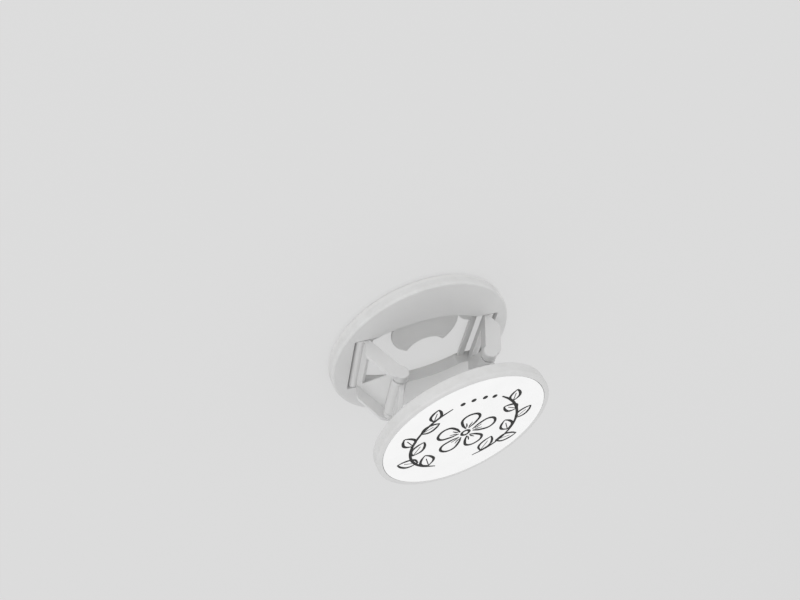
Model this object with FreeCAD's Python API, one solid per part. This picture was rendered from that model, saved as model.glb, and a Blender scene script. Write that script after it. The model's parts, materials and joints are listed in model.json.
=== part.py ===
import FreeCAD, Part
import math
import os

os.makedirs("parts", exist_ok=True)

V = FreeCAD.Vector
ACROSS = V(0, 1, 0)
UP = V(0, 0, 1)

# driving sizes, millimetres; X runs from leg to leg, Y along the hinges, Z away from the pad
disc_radius = 18.0
disc_thick = 2.4
disc_top_bevel = 0.3
disc_under_bevel = 0.25
disc_skin = 0.5
disc_well_corner = 1.0
insert_rim = 1.1
insert_thick = 0.5
insert_gap = 0.08
insert_bevel = 0.08

base_overhang = 1.8
base_rim_bevel = 0.4
base_under_bevel = 0.15
pad_thick = 0.5
pad_margin = 0.6
pad_setback = 0.3
well_corner = 0.5

hinge_inset = 5.4
leg_lean = 26.2
folded_knee_gap = 4.435
pad_to_barrel = 0.4
barrel_radius = 1.0
knee_radius = 1.5
leaf_thick = 0.95
leaf_bevel = 0.15
lower_leg_width = 14.8
knuckle_width = 1.9
knuckle_bevel = 0.3
knuckle_cap = 0.4
flange_thick = 0.8
flange_rise = 2.2
flange_foot = 1.2
flange_shoulder = 0.4
flange_cheek = 50.0
flange_corner = 0.8
flange_bevel = 0.15
lug_width = 1.8
lug_end_wall = 0.4
window_from_hinge = 2.3
window_from_knee = 2.7
window_plain_side = 3.6
window_brace_side = 2.1
window_corner = 0.5
pin_radius = 0.5
pin_bevel = 0.12
pin_recess = 0.1
pin_seat_depth = 1.7

run_gap = 0.05
seat_gap = 0.01
side_gap = 0.3
barrel_gap = 0.2
ceiling_gap = 0.25
slot_gap = 0.5
snap_throat = 0.82

floor_thick = 0.45
opening_half = 10.2
opening_arc = 25.0
sill_from_hinge = 2.6
sill_width = 1.6
tongue_radius = 7.4
tongue_x = 0.4
tongue_y = 5.2
notch_radius = 4.6
notch_x = 2.0
notch_y = -3.0
gusset_radius = 4.8
gusset_y = 9.4

# sizes that follow from the ones above
half_lower = lower_leg_width / 2
half_upper = half_lower - knuckle_width - side_gap
lug_start = half_upper + side_gap
lug_end = lug_start + lug_width
leaf_start = barrel_radius - leaf_thick
base_radius = disc_radius + base_overhang
insert_seat_radius = disc_radius - insert_rim

hinge_x = base_radius - hinge_inset
folded_rise = 2 * barrel_radius + barrel_gap
folded_run = hinge_x - knee_radius - folded_knee_gap / 2
leg_length = math.hypot(folded_run, folded_rise / 2)
lean = math.radians(leg_lean)
fold_angle = math.degrees(math.atan2(folded_run, folded_rise / 2)) - leg_lean

base_axis_z = pad_thick + pad_to_barrel + barrel_radius
base_top = base_axis_z + barrel_radius
knee_x = hinge_x - leg_length * math.sin(lean)
knee_z = base_axis_z + leg_length * math.cos(lean)
top_axis_z = base_axis_z + 2 * leg_length * math.cos(lean)
disc_ceiling = top_axis_z + barrel_radius + ceiling_gap
seat_floor = disc_ceiling + disc_skin
disc_top = seat_floor + insert_thick
disc_bottom = disc_top - disc_thick


def across(radius, half, x, z):
    return Part.makeCylinder(radius, 2 * half, V(x, -half, z), ACROSS)


def slab(half_x, half_y, z0, z1, corner):
    block = Part.makeBox(2 * half_x, 2 * half_y, z1 - z0, V(-half_x, -half_y, z0))
    upright = [e for e in block.Edges if abs(e.tangentAt(e.FirstParameter).z) > 0.99]
    return block.makeFillet(corner, upright)


def plate(outline, x0, x1, corner=0.0):
    points = [V(x0, y, z) for y, z in outline]
    face = Part.Face(Part.makePolygon(points + points[:1]))
    body = face.extrude(V(x1 - x0, 0, 0))
    if corner:
        along = [e for e in body.Edges if abs(e.tangentAt(e.FirstParameter).x) > 0.99]
        body = body.makeFillet(corner, along)
    return body


def circles_at(shape, z):
    ring = []
    for edge in shape.Edges:
        box = edge.BoundBox
        if abs(box.ZMin - z) < 1e-6 and abs(box.ZMax - z) < 1e-6:
            ring.append(edge)
    return ring


def bevelled_disc(radius, z0, z1, under, over):
    body = Part.makeCylinder(radius, z1 - z0, V(0, 0, z0), UP)
    body = body.makeChamfer(over, circles_at(body, z1))
    return body.makeChamfer(under, circles_at(body, z0))


def pin(half, x, z):
    body = across(pin_radius, half, x, z)
    ends = [e for e in body.Edges if abs(abs(e.CenterOfMass.y) - half) < 1e-6]
    return body.makeChamfer(pin_bevel, ends)


def pin_groove(half, x, z):
    # open below by less than the pin's width, so that the pin snaps in
    radius = pin_radius + seat_gap
    throat = radius * snap_throat
    drop = Part.makeBox(2 * throat, 2 * half, z, V(x - throat, -half, 0))
    return across(radius, half, x, z).fuse(drop)


def bevelled_barrel(radius, half, z):
    body = across(radius, half, 0, z)
    ends = [e for e in body.Edges if abs(abs(e.CenterOfMass.y) - half) < 1e-6]
    return body.makeChamfer(knuckle_bevel, ends)


def soften(leaf):
    # takes the sharpness off the long straight edges of a leaf
    picked = []
    for edge in leaf.Edges:
        box = edge.BoundBox
        if box.ZLength > leg_length / 2 and box.XLength < 1e-6:
            picked.append(edge)
    return leaf.makeChamfer(leaf_bevel, picked)


def window(foot, tip, half):
    plain = half - window_plain_side
    brace = window_brace_side - half
    return plate([(brace, foot), (plain, foot), (plain, tip)], -2 * barrel_radius, 0, window_corner)


def flange():
    # stiffening wall along one edge of a lower leg; its cheek runs on to the knuckle
    cheek = math.radians(flange_cheek)
    outline = [(-leaf_start, flange_foot), (flange_rise, flange_foot + flange_rise),
               (flange_rise, leg_length - flange_shoulder),
               (knee_radius * math.cos(cheek), leg_length + knee_radius * math.sin(cheek)),
               (-leaf_start, leg_length)]
    points = [V(x, half_lower - flange_thick, z) for x, z in outline]
    face = Part.Face(Part.makePolygon(points + points[:1]))
    body = face.extrude(V(0, flange_thick, 0))
    corners = [e for e in body.Edges if e.BoundBox.YLength > flange_thick / 2
               and abs(e.CenterOfMass.x - flange_rise) < 1e-6]
    body = body.makeFillet(flange_corner, corners)
    free = [e for e in body.Edges if e.BoundBox.YLength < 1e-6 and e.BoundBox.XMax > 0
            and e.BoundBox.ZLength > 0.1]
    return body.makeChamfer(flange_bevel, free)


def lower_leg():
    # stands on its base hinge; the leaf lies on the side that folds under
    notch = leg_length - knee_radius - side_gap
    leaf = plate([(-half_lower, 0), (half_lower, 0), (half_lower, leg_length), (lug_start, leg_length),
                  (lug_start, notch), (-lug_start, notch), (-lug_start, leg_length),
                  (-half_lower, leg_length)], -barrel_radius, -leaf_start)
    knuckles = bevelled_barrel(knee_radius, half_lower, leg_length)
    knuckles = knuckles.cut(across(2 * knee_radius, lug_start, 0, leg_length))
    wall = flange()
    body = soften(leaf).fuse(across(barrel_radius, half_lower, 0, 0)).fuse(knuckles)
    body = body.fuse(wall).fuse(wall.mirror(V(0, 0, 0), ACROSS))
    body = body.cut(window(window_from_hinge, leg_length - window_from_knee, half_lower))
    body = body.cut(across(pin_radius + run_gap, half_lower + 1, 0, 0))
    body = body.cut(across(pin_radius + seat_gap, half_lower - knuckle_cap, 0, leg_length))
    return body.removeSplitter()


def upper_leg():
    # stands on its knee hinge and turns between the knuckles there and the lugs at its top
    leaf = plate([(-half_upper, 0), (half_upper, 0), (half_upper, leg_length), (-half_upper, leg_length)],
                 -barrel_radius, -leaf_start)
    body = soften(leaf).fuse(across(knee_radius, half_upper, 0, 0))
    body = body.fuse(across(barrel_radius, half_upper, 0, leg_length))
    body = body.cut(window(leg_length - window_from_hinge, window_from_knee, half_upper))
    for z in (0, leg_length):
        body = body.cut(across(pin_radius + run_gap, half_upper + 1, 0, z))
    return body.removeSplitter()


def placed(shape, tilt, x, z):
    body = shape.copy()
    body.rotate(V(0, 0, 0), ACROSS, tilt)
    body.translate(V(x, 0, z))
    return body


def other_side(shape):
    return shape.mirror(V(0, 0, 0), V(1, 0, 0))


def floor_web():
    # thin floor inside the base opening: a notched tongue, two sills and two corner gussets
    def column(radius, x, y):
        return Part.makeCylinder(radius, floor_thick, V(x, y, pad_thick), UP)
    web = column(tongue_radius, tongue_x, tongue_y).cut(column(notch_radius, notch_x, notch_y))
    sill_half = half_lower + 2 * side_gap
    for side in (-1, 1):
        x = side * (hinge_x - sill_from_hinge)
        sill = Part.makeBox(sill_width, 2 * sill_half, floor_thick,
                            V(x - sill_width / 2, -sill_half, pad_thick))
        beyond = Part.makeBox(2 * gusset_radius, 4 * gusset_radius, floor_thick,
                              V(x if side > 0 else x - 2 * gusset_radius, 0, pad_thick))
        web = web.fuse(sill).fuse(column(gusset_radius, x, gusset_y).cut(beyond))
    return web.common(column(base_radius - base_rim_bevel, 0, 0))


def opening(grow, corner):
    # well for the folded legs, bowed out between the hinges
    tall = 2 * base_top
    well = slab(hinge_x + barrel_radius + slot_gap + grow, half_lower + side_gap + grow, -1, tall, corner)
    bow = slab(hinge_x, 2 * opening_half, -1, tall, corner)
    for y in (opening_half - opening_arc, opening_arc - opening_half):
        bow = bow.common(Part.makeCylinder(opening_arc + grow, tall + 1, V(0, y, -1), UP))
    return well.fuse(bow)


def base_plate():
    body = bevelled_disc(base_radius, pad_thick, base_top, base_under_bevel, base_rim_bevel)
    body = body.cut(opening(0, well_corner)).fuse(floor_web())
    for x in (-hinge_x, hinge_x):
        body = body.cut(pin_groove(half_lower + side_gap + pin_seat_depth, x, base_axis_z))
    return body.removeSplitter()


def adhesive_pad():
    body = Part.makeCylinder(base_radius - pad_margin, pad_thick)
    return body.cut(opening(pad_setback, well_corner + pad_setback))


def grip_disc():
    body = bevelled_disc(disc_radius, disc_bottom, disc_top, disc_under_bevel, disc_top_bevel)
    body = body.cut(Part.makeCylinder(insert_seat_radius, 2 * insert_thick, V(0, 0, seat_floor), UP))
    knee_reach = hinge_x - flange_foot - side_gap
    knee_well = slab(knee_reach, half_lower + side_gap, 0, disc_ceiling, disc_well_corner)
    hinge_well = slab(hinge_x + barrel_radius + side_gap, lug_start, 0, disc_ceiling, well_corner)
    body = body.cut(knee_well).cut(hinge_well)
    for x in (-hinge_x, hinge_x):
        web = Part.makeBox(2 * barrel_radius, 2 * lug_end, disc_ceiling - top_axis_z,
                           V(x - barrel_radius, -lug_end, top_axis_z))
        lugs = across(barrel_radius, lug_end, x, top_axis_z).fuse(web)
        lugs = lugs.cut(across(3 * barrel_radius, lug_start, x, top_axis_z))
        body = body.fuse(lugs).cut(pin_groove(lug_end - lug_end_wall, x, top_axis_z))
    return body.removeSplitter()


def face_insert():
    body = Part.makeCylinder(insert_seat_radius - insert_gap, insert_thick, V(0, 0, seat_floor), UP)
    return body.makeChamfer(insert_bevel, circles_at(body, disc_top))


seat_reach = side_gap + pin_seat_depth - pin_recess
right_side = {
    "lower_leg": placed(lower_leg(), -leg_lean, hinge_x, base_axis_z),
    "upper_leg": placed(upper_leg(), leg_lean, knee_x, knee_z),
    "base_pin": pin(half_lower + seat_reach, hinge_x, base_axis_z),
    "knee_pin": pin(half_lower - knuckle_cap - pin_recess, knee_x, knee_z),
    "top_pin": pin(lug_end - lug_end_wall - pin_recess, hinge_x, top_axis_z),
}
nodes = {
    "adhesive_pad": adhesive_pad(),
    "base_plate": base_plate(),
    "grip_disc": grip_disc(),
    "face_insert": face_insert(),
}
for name, shape in right_side.items():
    nodes[name + "_right"] = shape
    nodes[name + "_left"] = other_side(shape)

for name, shape in nodes.items():
    assert shape.isValid() and len(shape.Solids) == 1, name
    shape.Solids[0].exportStep("parts/" + name + ".step")

print("hinge", round(hinge_x, 5), round(base_axis_z, 5), "leg", round(leg_length, 5))
print("knee", round(knee_x, 5), round(knee_z, 5), "top axis", round(top_axis_z, 5))
print("fold", round(fold_angle, 4), "disc", round(disc_bottom, 4), round(disc_top, 4))
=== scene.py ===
import json
import math
import random
import bpy
import bmesh
from mathutils import Matrix, Vector


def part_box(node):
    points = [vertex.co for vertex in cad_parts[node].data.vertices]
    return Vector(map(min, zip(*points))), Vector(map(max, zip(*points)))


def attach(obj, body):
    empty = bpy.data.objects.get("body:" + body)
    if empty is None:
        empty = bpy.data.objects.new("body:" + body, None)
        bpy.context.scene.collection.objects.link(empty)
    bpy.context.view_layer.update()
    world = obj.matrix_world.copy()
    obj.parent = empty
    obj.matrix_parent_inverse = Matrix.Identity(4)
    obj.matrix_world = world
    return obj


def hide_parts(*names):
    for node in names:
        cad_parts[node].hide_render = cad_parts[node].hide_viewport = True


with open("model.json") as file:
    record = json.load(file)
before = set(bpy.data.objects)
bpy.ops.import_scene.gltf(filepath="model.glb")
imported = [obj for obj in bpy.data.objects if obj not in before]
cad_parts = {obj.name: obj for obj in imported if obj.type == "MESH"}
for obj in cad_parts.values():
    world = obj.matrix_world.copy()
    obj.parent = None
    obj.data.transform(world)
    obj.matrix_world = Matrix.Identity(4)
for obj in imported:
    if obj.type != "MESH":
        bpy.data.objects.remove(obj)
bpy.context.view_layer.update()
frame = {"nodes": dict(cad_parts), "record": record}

scene = bpy.context.scene
scene.view_settings.view_transform = "Standard"
mm = 1000.0  # millimetres in a metre
toMetres = Matrix.Scale(1 / mm, 4)  # pieces are modelled in millimetres and shrunk once at the end
fullTurn = 2 * math.pi
weldGap = 0.0005  # points nearer than this become one
sharpFrom = math.radians(38)  # shading breaks at sharper edges
edgeTurn, cornerTurn = 0.9, 1.2  # radians between two faces, at an edge to ease and at a square one
hair = 0.01  # keeps overlapping shells apart, so that no two faces coincide
rodSteps = 72


def jointPlace(name):
    for joint in frame["record"]["behaviour"]["joints"]:
        if joint["name"] == name:
            return Vector(joint["pos_m"]) * mm


hingeX, hingeZ = jointPlace("right_base_hinge").x, jointPlace("right_base_hinge").z
kneeX, kneeZ = jointPlace("right_knee").x, jointPlace("right_knee").z
topZ = jointPlace("disc_hinge").z
legLength = math.hypot(hingeX - kneeX, kneeZ - hingeZ)
legLean = math.atan2(hingeX - kneeX, kneeZ - hingeZ)
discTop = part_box("grip_disc")[1][2] * mm
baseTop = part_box("base_plate")[1][2] * mm
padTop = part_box("base_plate")[0][2] * mm
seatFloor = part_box("face_insert")[0][2] * mm

cameraSetup = {
    "place": (-0.05475, 0.10755, 0.07716),
    "right": (0.9123, 0.1604, 0.3767),
    "down": (-0.1747, -0.6795, 0.7125),
    "forward": (0.3703, -0.7159, -0.5919),
    "lens": 30.55,
    "sensor": 36.0,
    "near": 0.002,
}


def addCamera(setup):
    data = bpy.data.cameras.new("photoCamera")
    data.lens = setup["lens"]
    data.sensor_width = setup["sensor"]
    data.clip_start = setup["near"]
    cam = bpy.data.objects.new("photoCamera", data)
    scene.collection.objects.link(cam)
    axes = Matrix((setup["right"], -Vector(setup["down"]), -Vector(setup["forward"]))).transposed()
    cam.matrix_world = Matrix.Translation(setup["place"]) @ axes.to_4x4()
    scene.camera = cam


addCamera(cameraSetup)
print("camera set")


# shaping helpers, all in millimetres

def polar(radius, degrees):
    a = math.radians(degrees)
    return Vector((radius * math.cos(a), radius * math.sin(a), 0))


def weld(bm):
    bmesh.ops.remove_doubles(bm, verts=bm.verts[:], dist=weldGap)


def closeShell(bm, name):
    weld(bm)
    bmesh.ops.recalc_face_normals(bm, faces=bm.faces[:])
    mesh = bpy.data.meshes.new(name)
    bm.to_mesh(mesh)
    bm.free()
    return mesh


def roundVerts(bm, verts, size, segments=5):
    bmesh.ops.bevel(bm, geom=verts, offset=size, segments=segments, profile=0.5,
                    affect="VERTICES", material=-1)


def roundEdges(bm, edges, size, segments=3):
    bmesh.ops.bevel(bm, geom=edges, offset=size, segments=segments, profile=0.5,
                    affect="EDGES", material=-1, clamp_overlap=True)


def wireLoop(bm, places, closed=True):
    verts = [bm.verts.new(p) for p in places]
    for a, b in zip(verts, verts[1:]):
        bm.edges.new((a, b))
    if closed:
        bm.edges.new((verts[-1], verts[0]))
    return verts


def addArc(bm, start, centre, angle, steps):
    first = bm.verts.new(start)
    bmesh.ops.spin(bm, geom=[first], cent=centre, axis=(0, 0, 1), angle=angle, steps=steps, use_merge=False)


def spinRound(bm, axis, steps):
    bmesh.ops.spin(bm, geom=bm.verts[:] + bm.edges[:], cent=(0, 0, 0), axis=axis,
                   angle=fullTurn, steps=steps, use_merge=True)


def fillOutline(bm, edges):
    bmesh.ops.triangle_fill(bm, use_beauty=True, edges=edges)


def moveNew(bm, grown, shift):
    bmesh.ops.translate(bm, verts=[g for g in grown if isinstance(g, bmesh.types.BMVert)], vec=shift)


def liftFaces(bm, faces, shift):
    moveNew(bm, bmesh.ops.extrude_face_region(bm, geom=faces)["geom"], shift)
    bmesh.ops.recalc_face_normals(bm, faces=bm.faces[:])


def sinkLoop(bm, edges, depth):
    # turns a closed loop of edges into a pocket with a flat bottom
    grown = bmesh.ops.extrude_edge_only(bm, edges=edges)["geom"]
    moveNew(bm, grown, (0, 0, depth))
    fillOutline(bm, [g for g in grown if isinstance(g, bmesh.types.BMEdge)])


def sharpEdges(bm, limit=edgeTurn):
    return [e for e in bm.edges if e.is_manifold and e.calc_face_angle() > limit]


def turned(name, outline, rounds, steps, about="Z", closed=False):
    # outline is (radius, height along the axis); rounds gives corner number and radius
    bm = bmesh.new()
    if about == "Z":
        verts = wireLoop(bm, [(r, 0, h) for r, h in outline], closed)
        axis = (0, 0, 1)
    else:
        verts = wireLoop(bm, [(r, h, 0) for r, h in outline], closed)
        axis = (0, 1, 0)
    for corner, size in rounds.items():
        roundVerts(bm, [verts[corner]], size)
    spinRound(bm, axis, steps)
    return closeShell(bm, name)


def prism(name, axis, low, high, outline, rounds=None, hole=None, holeRound=0.0, edge=0.0):
    # outline lies across the axis: (y, z) for x, (x, z) for y, (x, y) for z
    def place(u, v):
        return {"x": (low, u, v), "y": (u, low, v), "z": (u, v, low)}[axis]
    bm = bmesh.new()
    verts = wireLoop(bm, [place(u, v) for u, v in outline])
    for corner, size in (rounds or {}).items():
        roundVerts(bm, [verts[corner]], size, 6)
    if hole:
        roundVerts(bm, wireLoop(bm, [place(u, v) for u, v in hole]), holeRound, 6)
    fillOutline(bm, bm.edges[:])
    shift = {"x": (high - low, 0, 0), "y": (0, high - low, 0), "z": (0, 0, high - low)}[axis]
    liftFaces(bm, bm.faces[:], shift)
    if edge:
        roundEdges(bm, sharpEdges(bm), edge)
    return closeShell(bm, name)


def rod(name, radius, y0, y1, z, endRound, bore=0.0):
    outline = [(bore, y0), (radius, y0), (radius, y1), (bore, y1)]
    mesh = turned(name, outline, {1: endRound, 2: endRound}, rodSteps, "Y", bool(bore))
    mesh.transform(Matrix.Translation((0, 0, z)))
    return mesh


def gather(name, shells):
    bm = bmesh.new()
    for mesh in shells:
        bm.from_mesh(mesh)
        bpy.data.meshes.remove(mesh)
    mesh = bpy.data.meshes.new(name)
    bm.to_mesh(mesh)
    bm.free()
    return mesh


def finishPiece(name, mesh, body, material, nodes):
    mesh.transform(toMetres)
    mesh.shade_smooth()
    mesh.set_sharp_from_angle(angle=sharpFrom)
    mesh.name = name
    piece = bpy.data.objects.new(name, mesh)
    scene.collection.objects.link(piece)
    mesh.materials.append(material)
    flat = piece.modifiers.new("flatFaces", "WEIGHTED_NORMAL")
    flat.keep_sharp = True
    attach(piece, body)
    if nodes:
        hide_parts(*nodes)


# node helpers

def newGroup(name, inputs, outputs):
    group = bpy.data.node_groups.new(name, "ShaderNodeTree")
    for label, kind in inputs:
        group.interface.new_socket(label, in_out="INPUT", socket_type="NodeSocket" + kind)
    for label, kind in outputs:
        group.interface.new_socket(label, in_out="OUTPUT", socket_type="NodeSocket" + kind)
    return group, group.nodes.new("NodeGroupInput").outputs, group.nodes.new("NodeGroupOutput").inputs


def addNode(tree, kind, settings=None, values=None):
    node = tree.nodes.new("ShaderNode" + kind)
    for key, value in (settings or {}).items():
        setattr(node, key, value)
    for key, value in (values or {}).items():
        node.inputs[key].default_value = value
    return node


def mathNode(tree, operation, a, b=None):
    node = addNode(tree, "Math", {"operation": operation})
    for k, item in enumerate((a, b)):
        if item is None:
            continue
        if isinstance(item, (int, float)):
            node.inputs[k].default_value = item
        else:
            tree.links.new(item, node.inputs[k])
    return node.outputs[0]


def blendSum(tree, first, firstPart, second, secondPart):
    return mathNode(tree, "ADD", mathNode(tree, "MULTIPLY", first, firstPart),
                    mathNode(tree, "MULTIPLY", second, secondPart))


def noiseOn(tree, vector, scale, detail=3.0, rough=0.55):
    node = addNode(tree, "TexNoise", None, {"Detail": detail, "Roughness": rough})
    if isinstance(scale, (int, float)):
        node.inputs["Scale"].default_value = scale
    else:
        tree.links.new(scale, node.inputs["Scale"])
    tree.links.new(vector, node.inputs["Vector"])
    return node.outputs["Fac"]


def spread(tree, value, low, high, toLow=0.0, toHigh=1.0):
    limits = {"From Min": low, "From Max": high, "To Min": toLow, "To Max": toHigh}
    node = addNode(tree, "MapRange", None, limits)
    tree.links.new(value, node.inputs["Value"])
    return node.outputs["Result"]


noiseLow, noiseHigh = 0.3, 0.7  # most of a noise lies between these


def spreadNoise(tree, noise, toLow=0.0, toHigh=1.0):
    return spread(tree, noise, noiseLow, noiseHigh, toLow, toHigh)


def mapped(tree, vector, values):
    node = addNode(tree, "Mapping", None, values)
    tree.links.new(vector, node.inputs["Vector"])
    return node.outputs["Vector"]


def colourMix(tree, factor, first, second):
    node = addNode(tree, "Mix", {"data_type": "RGBA"})
    tree.links.new(factor, node.inputs["Factor"])
    for label, item in (("A", first), ("B", second)):
        socket = next(s for s in node.inputs if s.name == label and s.type == "RGBA")
        if isinstance(item, tuple):
            socket.default_value = item
        else:
            tree.links.new(item, socket)
    return next(s for s in node.outputs if s.type == "RGBA")


def startMaterial(name):
    mat = bpy.data.materials.new(name)
    mat.use_nodes = True
    tree = mat.node_tree
    return mat, tree, tree.nodes["Principled BSDF"], addNode(tree, "TexCoord").outputs["Object"]


def useGroup(tree, group, vector, values):
    node = addNode(tree, "Group", {"node_tree": group})
    tree.links.new(vector, node.inputs["Vector"])
    for label, value in values.items():
        node.inputs[label].default_value = value
    return node.outputs


def addBump(tree, shader, height, opts):
    bump = addNode(tree, "Bump", None, {"Strength": opts["bump"], "Distance": opts["bumpDeep"]})
    tree.links.new(height, bump.inputs["Height"])
    tree.links.new(bump.outputs["Normal"], shader.inputs["Normal"])


# moulded plastic: sparked grain, slow flow marks and faint handling scuffs

skinLook = {
    "fineGrain": 2.7, "finePart": 0.5, "scuffScale": 3.0, "scuffFrom": 0.55, "scuffTo": 0.75,
    "scuffStretch": (1.0, 9.0, 3.0), "scuffTurn": (0.2, 0.3, 0.7), "flowGloss": 0.6, "scuffGloss": 0.4,
}


def makeMouldSkin(opts):
    tree, source, sink = newGroup("mouldSkin", [("Vector", "Vector"), ("Grain", "Float"), ("Flow", "Float")],
                                  [("Tint", "Float"), ("Gloss", "Float"), ("Height", "Float")])
    vector = source["Vector"]
    coarse = noiseOn(tree, vector, source["Grain"], 2.0)
    fine = noiseOn(tree, vector, mathNode(tree, "MULTIPLY", source["Grain"], opts["fineGrain"]), 2.0)
    flow = noiseOn(tree, vector, source["Flow"], 4.0, 0.5)
    drawn = mapped(tree, vector, {"Scale": opts["scuffStretch"], "Rotation": opts["scuffTurn"]})
    scuff = noiseOn(tree, drawn, mathNode(tree, "MULTIPLY", source["Flow"], opts["scuffScale"]), 5.0, 0.7)
    scuff = spread(tree, scuff, opts["scuffFrom"], opts["scuffTo"])
    height = mathNode(tree, "ADD", coarse, mathNode(tree, "MULTIPLY", fine, opts["finePart"]))
    tree.links.new(flow, sink["Tint"])
    tree.links.new(blendSum(tree, flow, opts["flowGloss"], scuff, opts["scuffGloss"]), sink["Gloss"])
    tree.links.new(height, sink["Height"])
    return tree


# a band round a rim where fingers polish and smudge it, broken up by noise

rimLook = {"patchScale": 420.0, "patchFrom": 0.42, "patchTo": 0.68, "full": 0.8}


def makeRimWear(opts):
    tree, source, sink = newGroup("rimWear", [("Vector", "Vector"), ("Radius", "Float"), ("Width", "Float")],
                                  [("Mask", "Float")])
    parts = addNode(tree, "SeparateXYZ")
    tree.links.new(source["Vector"], parts.inputs[0])
    flat = addNode(tree, "CombineXYZ")
    tree.links.new(parts.outputs["X"], flat.inputs["X"])
    tree.links.new(parts.outputs["Y"], flat.inputs["Y"])
    reach = addNode(tree, "VectorMath", {"operation": "LENGTH"})
    tree.links.new(flat.outputs[0], reach.inputs[0])
    away = mathNode(tree, "ABSOLUTE", mathNode(tree, "SUBTRACT", reach.outputs["Value"], source["Radius"]))
    near = mathNode(tree, "SUBTRACT", 1.0, mathNode(tree, "DIVIDE", away, source["Width"]))
    near = spread(tree, near, 0.0, opts["full"])
    patchy = noiseOn(tree, source["Vector"], opts["patchScale"], 5.0, 0.65)
    patchy = spread(tree, patchy, opts["patchFrom"], opts["patchTo"])
    tree.links.new(mathNode(tree, "MULTIPLY", near, patchy), sink["Mask"])
    return tree


mouldSkin = makeMouldSkin(skinLook)
rimWear = makeRimWear(rimLook)

whitePlastic = {
    "shade": (0.635, 0.635, 0.635, 1), "light": (0.675, 0.675, 0.672, 1), "smooth": 0.4, "rough": 0.58,
    "grain": 6500.0, "flow": 90.0, "bump": 0.25, "bumpDeep": 0.00002, "glossFrom": 0.2, "glossTo": 0.8,
    "smudge": (0.58, 0.578, 0.57, 1), "smudgePart": 0.5, "polish": 0.35,
    # the next line's values paint light onto the low floor in the base's well: a tint a touch lighter than
    # the plastic, to lift it out of its shade
    "paintedWellLight": (0.68, 0.68, 0.675, 1), "paintedWellLightFade": 1.4, "paintedWellLightScale": 900.0, "paintedWellLightLeast": 0.75,
}


def mouldedPlastic(name, opts):
    mat, tree, shader, vector = startMaterial(name)
    skin = useGroup(tree, mouldSkin, vector, {"Grain": opts["grain"], "Flow": opts["flow"]})
    colour = colourMix(tree, spreadNoise(tree, skin["Tint"]), opts["shade"], opts["light"])
    gloss = skin["Gloss"]
    if "rim" in opts:
        wear = useGroup(tree, rimWear, vector, {"Radius": opts["rim"], "Width": opts["rimWidth"]})["Mask"]
        smudged = mathNode(tree, "MULTIPLY", wear, opts["smudgePart"])
        colour = colourMix(tree, smudged, colour, opts["smudge"])
        gloss = mathNode(tree, "SUBTRACT", gloss, mathNode(tree, "MULTIPLY", wear, opts["polish"]))
    # painted light: below a set height, the floor in the well is tinted a touch lighter than the plastic,
    # broken up by noise, to lift it out of the shade it sits in
    if "paintedWellLightBelow" in opts:
        level = addNode(tree, "SeparateXYZ")
        tree.links.new(vector, level.inputs[0])
        top = opts["paintedWellLightBelow"]
        low = spread(tree, level.outputs["Z"], top, top * opts["paintedWellLightFade"], 1.0, 0.0)
        patchy = spreadNoise(tree, noiseOn(tree, vector, opts["paintedWellLightScale"], 4.0), opts["paintedWellLightLeast"], 1.0)
        colour = colourMix(tree, mathNode(tree, "MULTIPLY", low, patchy), colour, opts["paintedWellLight"])
    tree.links.new(colour, shader.inputs["Base Color"])
    rough = spread(tree, gloss, opts["glossFrom"], opts["glossTo"], opts["smooth"], opts["rough"])
    tree.links.new(rough, shader.inputs["Roughness"])
    addBump(tree, shader, skin["Height"], opts)
    return mat


discWhite = mouldedPlastic("discWhite", {**whitePlastic, "rim": 0.018, "rimWidth": 0.0011})
# the base's material paints light onto its floor low in the well
baseWhite = mouldedPlastic("baseWhite", {**whitePlastic, "rim": 0.0198, "rimWidth": 0.0009, "flow": 70.0,
                                         "paintedWellLightBelow": 0.001})
legWhite = mouldedPlastic("legWhite", {**whitePlastic, "flow": 160.0, "rough": 0.54})

paperLook = {
    "shade": (0.94, 0.94, 0.94, 1), "light": (0.965, 0.965, 0.965, 1), "smooth": 0.3, "rough": 0.42,
    "mottleScale": 240.0, "peelScale": 1500.0, "bump": 0.12, "bumpDeep": 0.00002,
}


def facePaper(opts):
    mat, tree, shader, vector = startMaterial("facePaper")
    mottle = noiseOn(tree, vector, opts["mottleScale"], 4.0)
    peel = noiseOn(tree, vector, opts["peelScale"], 2.0)
    colour = colourMix(tree, spreadNoise(tree, mottle), opts["shade"], opts["light"])
    tree.links.new(colour, shader.inputs["Base Color"])
    tree.links.new(spreadNoise(tree, mottle, opts["smooth"], opts["rough"]), shader.inputs["Roughness"])
    addBump(tree, shader, peel, opts)
    return mat


inkLook = {
    "dark": (0.004, 0.004, 0.004, 1), "thin": (0.012, 0.012, 0.012, 1), "thinFrom": 0.45, "thinTo": 0.75,
    "coverScale": 2600.0, "smooth": 0.5, "rough": 0.7, "bump": 0.2, "bumpDeep": 0.00001,
}


def printInk(opts):
    mat, tree, shader, vector = startMaterial("printInk")
    cover = noiseOn(tree, vector, opts["coverScale"], 4.0)
    worn = spread(tree, cover, opts["thinFrom"], opts["thinTo"])
    tree.links.new(colourMix(tree, worn, opts["dark"], opts["thin"]), shader.inputs["Base Color"])
    tree.links.new(spreadNoise(tree, cover, opts["smooth"], opts["rough"]), shader.inputs["Roughness"])
    addBump(tree, shader, cover, opts)
    return mat


steelLook = {
    "shade": (0.5, 0.5, 0.51, 1), "light": (0.66, 0.66, 0.67, 1), "smooth": 0.22, "rough": 0.4,
    "lineScale": 9000.0, "lineDraw": (1.0, 0.04, 1.0), "bump": 0.15, "bumpDeep": 0.00001,
}


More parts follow.
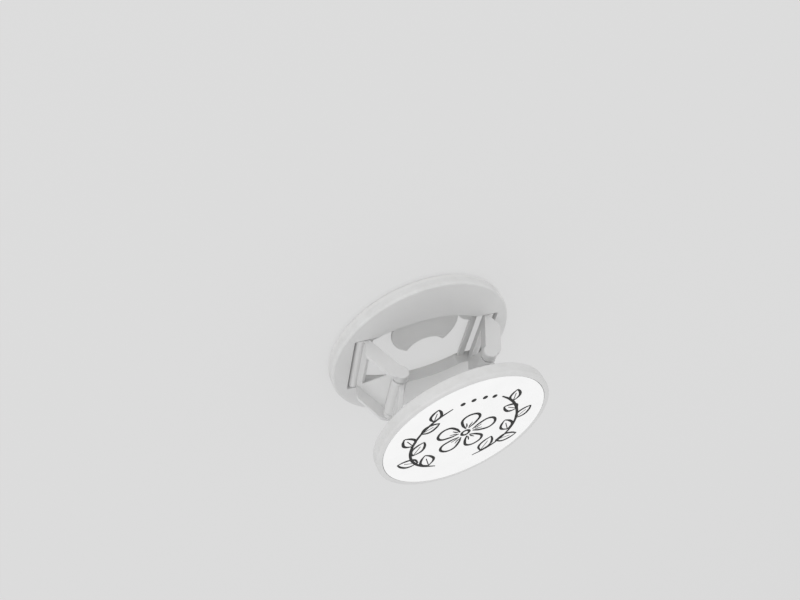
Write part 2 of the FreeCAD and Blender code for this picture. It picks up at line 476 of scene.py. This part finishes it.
def drawnSteel(opts):
    mat, tree, shader, vector = startMaterial("drawnSteel")
    along = mapped(tree, vector, {"Scale": opts["lineDraw"]})  # pins lie along Y
    lines = noiseOn(tree, along, opts["lineScale"], 3.0)
    tree.links.new(colourMix(tree, lines, opts["shade"], opts["light"]), shader.inputs["Base Color"])
    shader.inputs["Metallic"].default_value = 1.0
    tree.links.new(spreadNoise(tree, lines, opts["smooth"], opts["rough"]), shader.inputs["Roughness"])
    addBump(tree, shader, lines, opts)
    return mat


foamLook = {
    "shade": (0.6, 0.6, 0.595, 1), "light": (0.74, 0.74, 0.73, 1), "smooth": 0.75, "rough": 0.95,
    "cellScale": 5200.0, "poreFrom": 0.1, "poreTo": 0.6, "porePart": 0.6, "mottleScale": 300.0,
    "mottlePart": 0.4, "bump": 0.3, "bumpDeep": 0.00003,
}


def foamTape(opts):
    mat, tree, shader, vector = startMaterial("foamTape")
    cells = addNode(tree, "TexVoronoi", None, {"Scale": opts["cellScale"]})
    tree.links.new(vector, cells.inputs["Vector"])
    mottle = noiseOn(tree, vector, opts["mottleScale"], 4.0)
    pores = spread(tree, cells.outputs["Distance"], opts["poreFrom"], opts["poreTo"])
    mixed = blendSum(tree, pores, opts["porePart"], mottle, opts["mottlePart"])
    tree.links.new(colourMix(tree, mixed, opts["shade"], opts["light"]), shader.inputs["Base Color"])
    tree.links.new(spreadNoise(tree, mottle, opts["smooth"], opts["rough"]), shader.inputs["Roughness"])
    addBump(tree, shader, pores, opts)
    return mat


paperWhite = facePaper(paperLook)
inkBlack = printInk(inkLook)
pinSteel = drawnSteel(steelLook)
padFoam = foamTape(foamLook)
print("finishes ready")


# grip disc: turned rim and face seat, underside well and the four hinge lugs

discShape = {
    "radius": 18.0, "thick": 2.4, "underRound": 0.35, "topRound": 0.45, "seatRadius": 16.9, "seatLip": 0.1,
    "partingDepth": 0.012, "partingHalf": 0.05, "ringInset": 1.0, "steps": 160,
    "wellHigh": 1.4, "wellEdge": 0.12, "wellInset": 0.5, "pickGap": 0.1,
    "kneeReach": 12.9, "kneeHalf": 7.7, "kneeCorner": 1.0,
    "hingeReach": 15.7, "hingeHalf": 5.5, "hingeCorner": 0.5,
    "lugRadius": 1.0, "lugFrom": 5.52, "lugTo": 7.3, "lugEdge": 0.08, "lugSink": 0.5, "lugSteps": 12,
    "pinSeat": 0.51, "seatSteps": 24, "throatHalf": 0.418, "snapTo": 6.9, "endLap": 0.1, "endRound": 0.98,
    "ejectorRadius": 0.9, "ejectorDepth": 0.05, "ejectorSides": 32,
    "ejectorSpots": ((0, 12.6), (0, -12.6), (8.8, 10.6), (-8.8, 10.6), (8.8, -10.6), (-8.8, -10.6)),
}
discBottom = discTop - discShape["thick"]


def mirroredCorners(quarter):
    # carries a quarter outline, listed from the +X axis to the +Y axis, round all four quadrants
    loop = list(quarter)
    loop += [(-x, y) for x, y in reversed(quarter)]
    return loop + [(x, -y) for x, y in reversed(loop)]


def buildDisc(opts):
    middle = discTop - opts["thick"] / 2
    r = opts["radius"]
    bm = bmesh.new()
    outline = [(r - opts["ringInset"], discBottom), (r, discBottom), (r, middle - opts["partingHalf"]),
               (r - opts["partingDepth"], middle), (r, middle + opts["partingHalf"]), (r, discTop),
               (opts["seatRadius"], discTop), (opts["seatRadius"], seatFloor), (0, seatFloor)]
    verts = wireLoop(bm, [(x, 0, z) for x, z in outline], False)
    for corner, size in ((1, opts["underRound"]), (5, opts["topRound"]), (6, opts["seatLip"])):
        roundVerts(bm, [verts[corner]], size, 6)
    spinRound(bm, (0, 0, 1), opts["steps"])
    weld(bm)
    ring = [e for e in bm.edges if e.is_boundary]
    quarter = [(opts["hingeReach"], opts["hingeHalf"]), (opts["kneeReach"], opts["hingeHalf"]),
               (opts["kneeReach"], opts["kneeHalf"])]
    before = set(bm.edges)
    well = wireLoop(bm, [(x, y, discBottom) for x, y in mirroredCorners(quarter)])
    outer = [v for v in well if abs(v.co.x) > opts["kneeReach"] + opts["pickGap"]]
    inner = [v for v in well if abs(v.co.y) > opts["hingeHalf"] + opts["pickGap"]]
    roundVerts(bm, outer, opts["hingeCorner"], 5)
    roundVerts(bm, inner, opts["kneeCorner"], 6)
    rimEdges = [e for e in bm.edges if e not in before]
    marks = []  # shallow witness rings left by the ejector pins
    for x, y in opts["ejectorSpots"]:
        circle = bmesh.ops.create_circle(bm, cap_ends=False, radius=opts["ejectorRadius"],
                                         segments=opts["ejectorSides"],
                                         matrix=Matrix.Translation((x, y, discBottom)))["verts"]
        marks.append(list({e for v in circle for e in v.link_edges}))
    fillOutline(bm, ring + rimEdges + sum(marks, []))
    sinkLoop(bm, rimEdges, opts["wellHigh"])
    bmesh.ops.recalc_face_normals(bm, faces=bm.faces[:])
    reach = opts["seatRadius"] - opts["wellInset"]

    def inWell(v):
        return v.co.xy.length < reach and v.co.z < seatFloor - opts["pickGap"]
    roundEdges(bm, [e for e in sharpEdges(bm) if all(inWell(v) for v in e.verts)], opts["wellEdge"])
    for edges in marks:
        sinkLoop(bm, edges, opts["ejectorDepth"])
    return closeShell(bm, "discBody")


def buildSnapLug(opts):
    # open at the bottom, so that the pin snaps in; drawn flat and stood up along Y afterwards
    w, seat, half = opts["lugRadius"], opts["pinSeat"], opts["throatHalf"]
    high = discBottom + opts["lugSink"] - topZ
    lip, mouth = math.degrees(math.asin(half / w)), math.degrees(math.asin(half / seat))
    middle = (0, 0, 0)
    bm = bmesh.new()
    addArc(bm, polar(w, lip - 90), middle, math.radians(90 - lip), opts["lugSteps"])
    addArc(bm, polar(w, 180), middle, math.radians(90 - lip), opts["lugSteps"])
    addArc(bm, polar(seat, mouth - 90), middle, math.radians(360 - 2 * mouth), opts["seatSteps"])
    wireLoop(bm, [(w, 0, 0), (w, high, 0), (-w, high, 0), (-w, 0, 0)], False)
    for side in (-1, 1):
        wireLoop(bm, [polar(w, side * lip - 90), polar(seat, side * mouth - 90)], False)
    weld(bm)
    fillOutline(bm, bm.edges[:])
    liftFaces(bm, bm.faces[:], (0, 0, opts["snapTo"] - opts["lugFrom"]))
    roundEdges(bm, sharpEdges(bm), opts["lugEdge"])
    mesh = closeShell(bm, "snapLug")
    mesh.transform(Matrix.Translation((0, opts["snapTo"], topZ)) @ Matrix.Rotation(math.pi / 2, 4, "X"))
    return mesh


def buildLugs(opts):
    shells = []
    w = opts["lugRadius"] - hair
    low, high = topZ - w, discBottom + opts["lugSink"]
    box = [(-w, low), (w, low), (w, high), (-w, high)]
    rounds = {0: w * opts["endRound"], 1: w * opts["endRound"]}
    for x in (-hingeX, hingeX):
        for turn in (0, math.pi):
            place = Matrix.Translation((x, 0, 0)) @ Matrix.Rotation(turn, 4, "Z")
            stop = prism("lugEnd", "y", opts["snapTo"] - opts["endLap"], opts["lugTo"], box, rounds,
                         edge=opts["lugEdge"])
            for mesh in (buildSnapLug(opts), stop):
                mesh.transform(place)
                shells.append(mesh)
    return shells


gripDisc = gather("gripDisc", [buildDisc(discShape)] + buildLugs(discShape))
finishPiece("gripDisc", gripDisc, "disc", discWhite, ["grip_disc"])
print("grip disc built")


# face plate, flush in the disc, slightly low so that the ink stays under the rim

facePlate = {"radius": 16.82, "low": 0.02, "edge": 0.08, "underEdge": 0.03, "steps": 160}
faceTop = discTop - facePlate["low"]


def buildFace(opts):
    r = opts["radius"]
    outline = [(0, seatFloor), (r, seatFloor), (r, faceTop), (0, faceTop)]
    return turned("facePlate", outline, {1: opts["underEdge"], 2: opts["edge"]}, opts["steps"])


finishPiece("facePlate", buildFace(facePlate), "disc", paperWhite, ["face_insert"])
print("face plate built")


# line drawing on the face: an open flower between two leafy sprigs
# pairs for petal, vein and leaf are shares, how far out and how wide there; dots are headings in degrees

faceDrawing = {
    "stroke": 0.3, "flat": 0.05, "rise": 0.003, "seed": 4, "curveSteps": 7, "tubeSteps": 2, "endTaper": 0.55,
    "petals": 5, "petalFrom": 1.5, "petalTo": 6.3, "petalSpread": 25.0, "petalFoot": 0.4,
    "petalBelly": (0.4, 0.95), "petalShoulder": (0.88, 0.72), "budRadius": 0.8, "budPoints": 6,
    "veinLean": 7, "veinFrom": 1.3, "veinMid": (0.4, 1.1), "veinTo": (0.56, 1.5), "veinWeight": 0.6,
    "sprigRadius": 11.2, "sprigFrom": 117.0, "sprigTo": 248.0, "sprigPoints": 9,
    "wave": 0.35, "waveStep": 0.8, "leaves": 6, "leafLong": 5.0, "leafWide": 1.35,
    "leafTurn": 40.0, "leafWander": 5, "leafShrink": 0.05,
    "leafStart": 10, "leafSpare": 12, "leafSeat": 0.2, "leafBelly": 0.35, "leafShoulder": (0.72, 0.75),
    "midrib": 0.68, "midribWeight": 0.65, "dots": (96.0, 107.0), "dotRadius": 0.22, "dotPoints": 5,
}


def addStroke(curve, points, closed=False, weight=1.0):
    spline = curve.splines.new("BEZIER")
    spline.bezier_points.add(len(points) - 1)
    spline.use_cyclic_u = closed
    last = len(points) - 1
    for k, place in enumerate(points):
        point = spline.bezier_points[k]
        point.co = place
        point.handle_left_type = "AUTO"
        point.handle_right_type = "AUTO"
        point.radius = weight * (1.0 if closed or 0 < k < last else faceDrawing["endTaper"])


def addRing(curve, centre, radius, count):
    addStroke(curve, [centre + polar(radius, n * 360 / count) for n in range(count)], True)


def drawFlower(curve, opts):
    near, far, wide = opts["petalFrom"], opts["petalTo"], opts["petalSpread"]
    belly, shoulder = opts["petalBelly"], opts["petalShoulder"]
    mid, end = opts["veinMid"], opts["veinTo"]
    side = ((near, opts["petalFoot"]), (near + (far - near) * belly[0], belly[1]),
            (far * shoulder[0], shoulder[1]))
    for k in range(opts["petals"]):
        a = 90 + k * 360 / opts["petals"]
        rising = [polar(r, a - wide * share) for r, share in side]
        falling = [polar(r, a + wide * share) for r, share in reversed(side)]
        addStroke(curve, rising + [polar(far, a)] + falling)
        for lean in (-opts["veinLean"], opts["veinLean"]):
            vein = [polar(near * opts["veinFrom"], a + lean), polar(far * mid[0], a + lean * mid[1]),
                    polar(far * end[0], a + lean * end[1])]
            addStroke(curve, vein, weight=opts["veinWeight"])
    addRing(curve, Vector((0, 0, 0)), opts["budRadius"], opts["budPoints"])


def drawLeaf(curve, root, heading, opts, size):
    ahead = Vector((math.cos(heading), math.sin(heading), 0))
    aside = Vector((-ahead.y, ahead.x, 0))
    long, wide = opts["leafLong"] * size, opts["leafWide"] * size
    along, share = opts["leafShoulder"]
    tip = root + ahead * long
    for side in (-1, 1):
        addStroke(curve, [root, root + ahead * long * opts["leafBelly"] + aside * side * wide,
                          root + ahead * long * along + aside * side * wide * share, tip])
    addStroke(curve, [root, root + ahead * long * opts["midrib"]], weight=opts["midribWeight"])


def drawSprig(curve, side, opts, draw):
    sweep, last = opts["sprigTo"] - opts["sprigFrom"], opts["sprigPoints"] - 1
    angles = [opts["sprigFrom"] + sweep * k / last for k in range(opts["sprigPoints"])]
    places = [polar(opts["sprigRadius"] - opts["wave"] * math.sin(k * opts["waveStep"]), a)
              for k, a in enumerate(angles)]
    addStroke(curve, [Vector((p.x * side, p.y, 0)) for p in places])
    for k in range(opts["leaves"]):
        a = opts["sprigTo"] - opts["leafStart"] - (sweep - opts["leafSpare"]) * k / opts["leaves"]
        outward = 1 if k % 2 else -1
        root = polar(opts["sprigRadius"] - opts["leafSeat"], a)
        turn = opts["leafTurn"] + draw.uniform(-opts["leafWander"], opts["leafWander"])
        heading = math.radians(a - 90 + outward * turn)
        if side < 0:
            root.x = -root.x
            heading = math.pi - heading
        drawLeaf(curve, root, heading, opts, 1 - opts["leafShrink"] * k)
    for a in opts["dots"]:
        spot = polar(opts["sprigRadius"], a)
        spot.x *= side
        addRing(curve, spot, opts["dotRadius"], opts["dotPoints"])


def buildDrawing(opts):
    draw = random.Random(opts["seed"])
    curve = bpy.data.curves.new("faceDrawing", "CURVE")
    curve.dimensions = "3D"
    curve.resolution_u = opts["curveSteps"]
    curve.bevel_depth = opts["stroke"]
    curve.bevel_resolution = opts["tubeSteps"]
    curve.use_fill_caps = True
    drawFlower(curve, opts)
    for side in (1, -1):
        drawSprig(curve, side, opts, draw)
    holder = bpy.data.objects.new("drawingCurve", curve)
    scene.collection.objects.link(holder)
    graph = bpy.context.evaluated_depsgraph_get()
    mesh = bpy.data.meshes.new_from_object(holder.evaluated_get(graph))
    bpy.data.objects.remove(holder)
    mesh.transform(Matrix.Diagonal((1, 1, opts["flat"], 1)))  # the tube is pressed flat into a film of ink
    mesh.transform(Matrix.Translation((0, 0, faceTop + opts["rise"])))
    return mesh


finishPiece("faceDrawing", buildDrawing(faceDrawing), "disc", inkBlack, [])
print("face drawing built")


# base plate: ring with a bowed leg opening and a thin scalloped floor
# tongue and notch are radius, x and y; gusset is radius and y

baseShape = {
    "radius": 19.8, "rimRound": 0.55, "underRound": 0.15, "steps": 176, "wellReach": 15.9, "wellHalf": 7.7,
    "wellCorner": 0.5, "wellEdge": 0.12, "bowHalf": 10.2, "bowArc": 25.0, "bowSteps": 28,
    "floorThick": 0.45, "floorEdge": 0.15, "tongue": (7.4, 0.4, 5.2), "notch": (4.6, 2.0, -3.0),
    "gusset": (4.8, 9.4), "tongueSteps": 96, "biteSteps": 48, "gussetSteps": 48,
    "sillFromHinge": 2.6, "sillWide": 1.6, "sillHalf": 8.0, "pickGap": 0.01,
}


def buildBaseRing(opts):
    half = opts["wellHalf"]
    bm = bmesh.new()
    addArc(bm, (opts["radius"], 0, baseTop), (0, 0, baseTop), fullTurn, opts["steps"])
    weld(bm)
    dip = opts["bowArc"] - opts["bowHalf"]
    bowX = math.sqrt(opts["bowArc"] ** 2 - (half + dip) ** 2)
    swing = 2 * math.asin(bowX / opts["bowArc"])
    addArc(bm, (bowX, half, baseTop), (0, -dip, baseTop), swing, opts["bowSteps"])
    addArc(bm, (-bowX, -half, baseTop), (0, dip, baseTop), swing, opts["bowSteps"])
    for side in (-1, 1):
        near, far = side * bowX, side * opts["wellReach"]
        end = wireLoop(bm, [(near, -half, baseTop), (far, -half, baseTop), (far, half, baseTop),
                            (near, half, baseTop)], False)
        roundVerts(bm, end[1:3], opts["wellCorner"], 6)
    weld(bm)
    fillOutline(bm, bm.edges[:])
    liftFaces(bm, bm.faces[:], (0, 0, padTop - baseTop))
    rims = {"top": [], "under": [], "well": []}
    for edge in sharpEdges(bm, cornerTurn):
        outside = edge.verts[0].co.xy.length > opts["radius"] - opts["pickGap"]
        high = all(v.co.z > baseTop - opts["pickGap"] for v in edge.verts)
        if outside:
            rims["top" if high else "under"].append(edge)
        elif high:
            rims["well"].append(edge)
    roundEdges(bm, rims["top"], opts["rimRound"], 6)
    roundEdges(bm, [e for e in rims["under"] if e.is_valid], opts["underRound"], 2)
    roundEdges(bm, [e for e in rims["well"] if e.is_valid], opts["wellEdge"], 3)
    return closeShell(bm, "baseRing")


def raiseFloor(bm, opts, step):
    # fills a flat outline lying on the pad and lifts it to the floor's thickness, with eased edges
    # each part has its own step, which keeps crossing shells apart
    weld(bm)
    fillOutline(bm, bm.edges[:])
    liftFaces(bm, bm.faces[:], (0, 0, opts["floorThick"] - 2 * step))
    high = padTop + opts["floorThick"] / 2
    rim = [e for e in sharpEdges(bm, cornerTurn) if all(v.co.z > high for v in e.verts)]
    roundEdges(bm, rim, opts["floorEdge"], 3)
    bmesh.ops.translate(bm, verts=bm.verts[:], vec=(0, 0, step))
    return closeShell(bm, "baseFloor")


def buildTongue(opts):
    # a round tongue with a round bite; the two circles meet at heading +- reach from the line of centres
    (big, bigX, bigY), (small, smallX, smallY) = opts["tongue"], opts["notch"]
    centre, bite = Vector((bigX, bigY, padTop)), Vector((smallX, smallY, padTop))
    line = bite - centre
    gap = line.length
    along = (gap ** 2 + big ** 2 - small ** 2) / (2 * gap)
    reach = math.acos(along / big)
    biteReach = math.acos((gap - along) / small)
    start = centre + Matrix.Rotation(reach, 3, "Z") @ line.normalized() * big
    bm = bmesh.new()
    addArc(bm, start, centre, fullTurn - 2 * reach, opts["tongueSteps"])
    addArc(bm, start, bite, 2 * biteReach, opts["biteSteps"])
    return raiseFloor(bm, opts, hair)


def buildGusset(side, x, opts):
    size, y = opts["gusset"]
    bm = bmesh.new()
    addArc(bm, (x, y + size * side, padTop), (x, y, padTop), math.pi, opts["gussetSteps"])
    ends = sorted(bm.verts, key=lambda v: abs(v.co.x - x))[:2]
    bm.edges.new(ends)
    return raiseFloor(bm, opts, 2 * hair)


def buildBaseFloor(opts):
    shells = [buildTongue(opts)]
    half, long = opts["sillWide"] / 2, opts["sillHalf"]
    for side in (-1, 1):
        x = side * (hingeX - opts["sillFromHinge"])
        sill = [(x - half, -long), (x + half, -long), (x + half, long), (x - half, long)]
        shells.append(prism("sill", "z", padTop + hair / 2, padTop + opts["floorThick"], sill,
                            edge=opts["floorEdge"]))
        shells.append(buildGusset(side, x, opts))
    return shells


basePlate = gather("basePlate", [buildBaseRing(baseShape)] + buildBaseFloor(baseShape))
finishPiece("basePlate", basePlate, "base", baseWhite, ["base_plate"])
print("base plate built")


# legs, each built standing on its own lower hinge and then set in place

legShape = {
    "barrel": 1.0, "knee": 1.5, "knuckleRound": 0.3, "barrelRound": 0.12, "bore": 0.55, "boreClear": 0.62,
    "halfLower": 7.4, "halfUpper": 5.2, "sideGap": 0.3, "proud": 0.02,
    "leafBack": -0.97, "leafFront": -0.05, "leafEdge": 0.12, "notchCorner": 0.4,
    "rootFront": -0.57, "rootHigh": 0.8,
    "windowFromHinge": 2.3, "windowFromKnee": 2.7, "plainSide": 3.6, "braceSide": 2.1, "windowCorner": 0.5,
    "flangeThick": 0.8, "flangeRise": 2.2, "flangeFoot": 1.2, "flangeShoulder": 0.4, "flangeCheek": 50.0,
    "flangeCorner": 0.8, "flangeEdge": 0.14, "cheekPart": 0.82,
}


def legWindow(foot, tip, half, opts):
    plain = half - opts["plainSide"]
    return [(opts["braceSide"] - half, foot), (plain, foot), (plain, tip)]


def buildLeaf(outline, rounds, window, opts):
    return prism("leaf", "x", opts["leafBack"], opts["leafFront"], outline, rounds, window,
                 opts["windowCorner"], opts["leafEdge"])


def leafRoot(half, low, high, opts):
    # carries the leaf's back into a barrel's wall, clear of the bore
    outline = [(-half, low), (half, low), (half, high), (-half, high)]
    return prism("leafRoot", "x", opts["leafBack"] + opts["proud"] / 2, opts["rootFront"], outline)


def buildLowerLeg(opts):
    half, gap = opts["halfLower"], opts["halfUpper"] + opts["sideGap"]
    notch = legLength - opts["knee"] - opts["sideGap"]
    inside = half - opts["flangeThick"] / 2  # the leaf ends within the side walls
    edge, clear = gap + opts["proud"], opts["boreClear"]
    leaf = [(-inside, clear), (inside, clear), (inside, legLength), (edge, legLength), (edge, notch),
            (-edge, notch), (-edge, legLength), (-inside, legLength)]
    window = legWindow(opts["windowFromHinge"], legLength - opts["windowFromKnee"], half, opts)
    shells = [buildLeaf(leaf, {4: opts["notchCorner"], 5: opts["notchCorner"]}, window, opts),
              leafRoot(inside, 0, opts["rootHigh"], opts),
              rod("baseBarrel", opts["barrel"], -half, half, 0, opts["barrelRound"], opts["bore"])]
    back, front, rise = opts["leafBack"] - opts["proud"], opts["leafFront"], opts["flangeRise"]
    cheek = polar(opts["knee"] * opts["cheekPart"], opts["flangeCheek"])  # ends within the knuckle
    wall = [(back, 0), (opts["rootFront"], 0), (opts["rootFront"], clear), (front, clear),
            (front, opts["flangeFoot"]), (rise, opts["flangeFoot"] + rise),
            (rise, legLength - opts["flangeShoulder"]), (cheek.x, legLength + cheek.y), (back, legLength)]
    rounds = {5: opts["flangeCorner"], 6: opts["flangeCorner"]}
    outer, inner = half - opts["proud"], half - opts["flangeThick"]
    for y0, y1, k0, k1 in ((inner, outer, gap, half), (-outer, -inner, -half, -gap)):
        shells.append(prism("sideWall", "y", y0, y1, wall, rounds, edge=opts["flangeEdge"]))
        shells.append(rod("knuckle", opts["knee"], k0, k1, legLength, opts["knuckleRound"]))
    return gather("lowerLeg", shells)


def buildUpperLeg(opts):
    half = opts["halfUpper"]
    side = half - opts["proud"]
    low, high = opts["boreClear"], legLength - opts["boreClear"]
    leaf = [(-side, low), (side, low), (side, high), (-side, high)]
    window = legWindow(legLength - opts["windowFromHinge"], opts["windowFromKnee"], half, opts)
    return gather("upperLeg", [
        buildLeaf(leaf, None, window, opts),
        leafRoot(side - opts["proud"] / 2, legLength - opts["rootHigh"], legLength, opts),
        rod("kneeBarrel", opts["knee"], -half, half, 0, opts["barrelRound"], opts["bore"]),
        rod("topBarrel", opts["barrel"], -half, half, legLength, opts["barrelRound"], opts["bore"])])


def setLegs(opts):
    spots = {"lower": (buildLowerLeg, -legLean, hingeX, hingeZ),
             "upper": (buildUpperLeg, legLean, kneeX, kneeZ)}
    for kind, (build, tilt, x, z) in spots.items():
        for side in ("right", "left"):
            mesh = build(opts)
            mesh.transform(Matrix.Translation((x, 0, z)) @ Matrix.Rotation(tilt, 4, "Y"))
            if side == "left":
                mesh.transform(Matrix.Diagonal((-1, 1, 1, 1)))
                mesh.flip_normals()
            name = kind + "Leg" + side.capitalize()
            finishPiece(name, mesh, kind + "_" + side, legWhite, [kind + "_leg_" + side])


setLegs(legShape)
print("legs built")


# nodes kept as they are get their own finish

keptFinish = {"adhesive_pad": padFoam}
for kind in ("base_pin", "knee_pin", "top_pin"):
    for side in ("left", "right"):
        keptFinish[kind + "_" + side] = pinSteel
for node, finish in keptFinish.items():
    data = frame["nodes"][node].data
    data.materials.clear()
    data.materials.append(finish)
print("pins and pad finished")


# pale floor, soft room and two lamps; a lamp is its place, size and power

stage = {
    "floorSize": 6.0, "floorColour": (0.9, 0.9, 0.9, 1), "floorRough": 0.85, "floorShown": 0.672,
    "shownPart": 0.8, "drop": 0.00005, "worldLight": 0.93, "worldShown": 0.7,
    "lamps": {"keyLamp": ((-0.34, 0.74, 0.38), 0.45, 1.1), "sideLamp": ((-0.7, 0.1, 0.25), 0.4, 0.2)},
}


def seenRays(tree):
    rays = addNode(tree, "LightPath")
    seen = mathNode(tree, "ADD", rays.outputs["Is Camera Ray"], rays.outputs["Is Glossy Ray"])
    return mathNode(tree, "MINIMUM", mathNode(tree, "ADD", seen, rays.outputs["Is Transmission Ray"]), 1.0)


def addFloor(opts):
    bm = bmesh.new()
    bmesh.ops.create_grid(bm, x_segments=1, y_segments=1, size=opts["floorSize"])
    mesh = bpy.data.meshes.new("paleFloor")
    bm.to_mesh(mesh)
    bm.free()
    mesh.transform(Matrix.Translation((0, 0, -opts["drop"])))
    floor = bpy.data.objects.new("paleFloor", mesh)
    scene.collection.objects.link(floor)
    mat, tree, shader = startMaterial("paleFloor")[:3]
    shader.inputs["Base Color"].default_value = opts["floorColour"]
    shader.inputs["Roughness"].default_value = opts["floorRough"]
    shown = addNode(tree, "Emission", None, {"Strength": opts["floorShown"]})
    mix = addNode(tree, "MixShader")
    tree.links.new(mathNode(tree, "MULTIPLY", seenRays(tree), opts["shownPart"]), mix.inputs["Fac"])
    tree.links.new(shader.outputs[0], mix.inputs[1])
    tree.links.new(shown.outputs[0], mix.inputs[2])
    tree.links.new(mix.outputs[0], tree.nodes["Material Output"].inputs["Surface"])
    mesh.materials.append(mat)


def addRoom(opts):
    world = bpy.data.worlds.new("softRoom")
    world.use_nodes = True
    tree = world.node_tree
    light = tree.nodes["Background"].inputs
    light["Color"].default_value = (1, 1, 1, 1)
    change = mathNode(tree, "MULTIPLY", seenRays(tree), opts["worldShown"] - opts["worldLight"])
    tree.links.new(mathNode(tree, "ADD", change, opts["worldLight"]), light["Strength"])
    scene.world = world


def addLamps(opts):
    for name, (place, size, power) in opts["lamps"].items():
        data = bpy.data.lights.new(name, "AREA")
        data.shape = "DISK"
        data.size = size
        data.energy = power
        lamp = bpy.data.objects.new(name, data)
        lamp.location = place
        lamp.rotation_euler = (-Vector(place)).to_track_quat("-Z", "Y").to_euler()
        lamp.visible_camera = False
        scene.collection.objects.link(lamp)


addFloor(stage)
addRoom(stage)
addLamps(stage)
print("stage lit")
